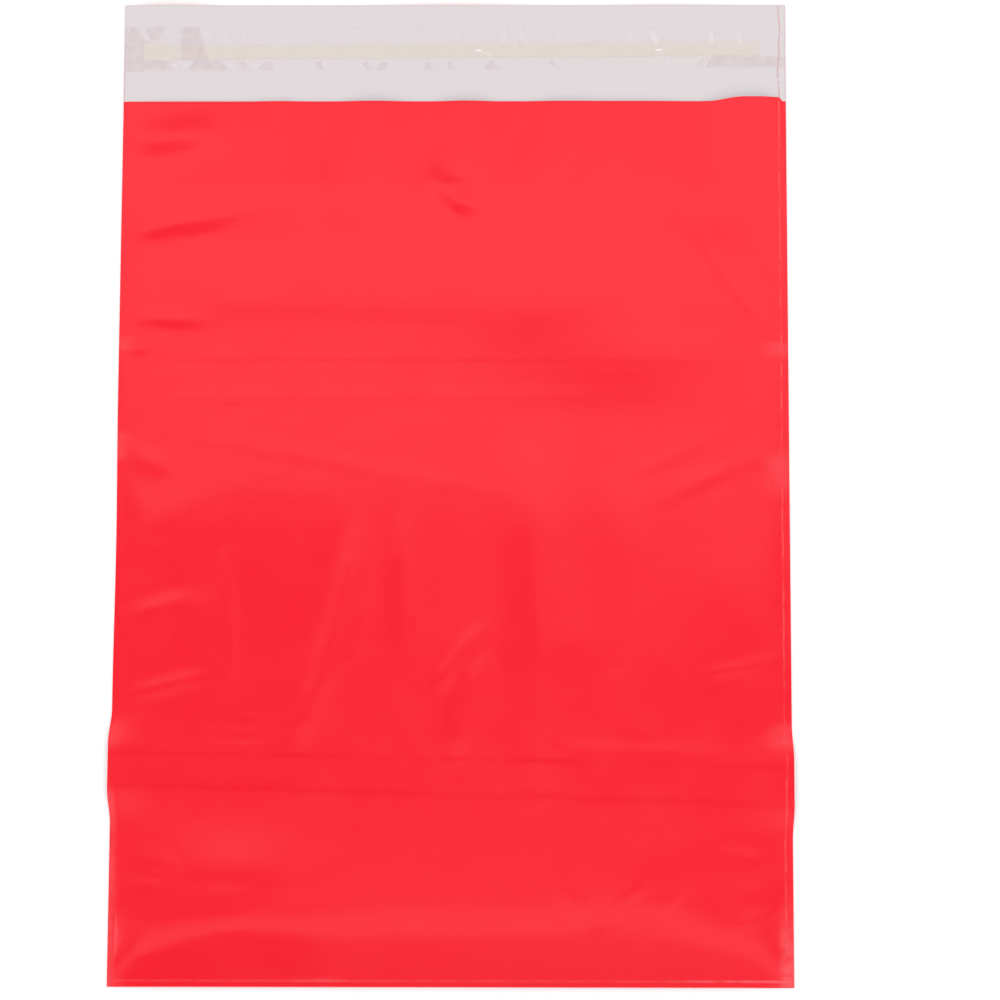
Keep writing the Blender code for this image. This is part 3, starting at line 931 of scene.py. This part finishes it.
def ceiling_panel(name, x0, x1, y0, y1, radiance):
    """A soft panel that shines straight down with the given radiance."""
    data = bpy.data.lights.new(name, "AREA")
    data.shape = "RECTANGLE"
    data.size, data.size_y = x1 - x0, y1 - y0
    data.energy = radiance * data.size * data.size_y * math.pi
    light = bpy.data.objects.new(name, data)
    light.location = ((x0 + x1) / 2, (y0 + y1) / 2, CEILING_HEIGHT)
    light.visible_camera = False
    bpy.context.collection.objects.link(light)


def make_lights():
    for number, panel in enumerate(CEILING, 1):
        ceiling_panel(f"ceiling_{number}", *panel)


def make_world():
    world = bpy.data.worlds.new("studio")
    bpy.context.scene.world = world
    world.use_nodes = True
    background = world.node_tree.nodes["Background"]
    background.inputs["Color"].default_value = WHITE
    background.inputs["Strength"].default_value = WORLD_LIGHT


def floor_material():
    """White that keeps its shadows. A little glow, for the eye and for reflections, makes it clear white."""
    nodes = Nodes("floor_white")
    rays = nodes.add("ShaderNodeLightPath").outputs
    seen = nodes.most(rays["Is Camera Ray"], rays["Is Glossy Ray"], rays["Is Transmission Ray"])
    glow = nodes.add("ShaderNodeEmission", WHITE, nodes.times(seen, FLOOR_GLOW))
    both = nodes.add("ShaderNodeAddShader", nodes.shader.outputs["BSDF"], glow.outputs["Emission"])
    nodes.put(nodes.output.inputs["Surface"], both.outputs["Shader"])
    return nodes.finish(FLOOR_WHITE, FLOOR_ROUGHNESS)


def make_floor():
    corners = [(x * FLOOR_HALF, y * FLOOR_HALF, FLOOR_LEVEL) for x, y in ((-1, -1), (1, -1), (1, 1), (-1, 1))]
    mesh = bpy.data.meshes.new("floor")
    mesh.from_pydata(corners, [], [(0, 1, 2, 3)])
    mesh.materials.append(floor_material())
    floor = bpy.data.objects.new("floor", mesh)
    bpy.context.collection.objects.link(floor)


# The camera stands over the bag's lower half and looks at a point right of the bag's middle
CAMERA_LOOKS_AT = (0.0215, -0.0064, 0.0)
CAMERA_DISTANCE = 1.886
CAMERA_TILT = 10.12
CAMERA_TURN = -0.72
CAMERA_ROLL = 0.03
CAMERA_LENS = 150.0
CAMERA_SENSOR = 36.0


def turned(first, second, angle):
    """Two axes at right angles, turned in their own plane, the first towards the second."""
    cosine, sine = math.cos(angle), math.sin(angle)
    return cosine * first + sine * second, cosine * second - sine * first


def make_camera():
    tilt, turn, roll = (math.radians(a) for a in (CAMERA_TILT, CAMERA_TURN, CAMERA_ROLL))
    right, back = Vector((1, 0, 0)), Vector((0, -math.sin(tilt), math.cos(tilt)))
    up = back.cross(right)
    right, back = turned(right, back, turn)
    right, up = turned(right, up, roll)
    data = bpy.data.cameras.new("camera")
    data.lens = CAMERA_LENS
    data.sensor_width = CAMERA_SENSOR
    camera = bpy.data.objects.new("camera", data)
    axes = Matrix((right, up, back)).transposed().to_4x4()
    camera.matrix_world = Matrix.Translation(Vector(CAMERA_LOOKS_AT) + back * CAMERA_DISTANCE) @ axes
    bpy.context.collection.objects.link(camera)
    bpy.context.scene.camera = camera


bpy.context.scene.view_settings.view_transform = "Standard"
make_camera()
make_world()
make_lights()
make_floor()

film_piece = make_film([red_material(), grey_material()])
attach(film_piece, "root")
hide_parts("mailer_bag")

bead_piece = make_adhesive(adhesive_material())
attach(bead_piece, "root")
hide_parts("adhesive_strip")

liner_piece = make_liner(liner_material())
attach(liner_piece, "root")
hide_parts("release_liner")
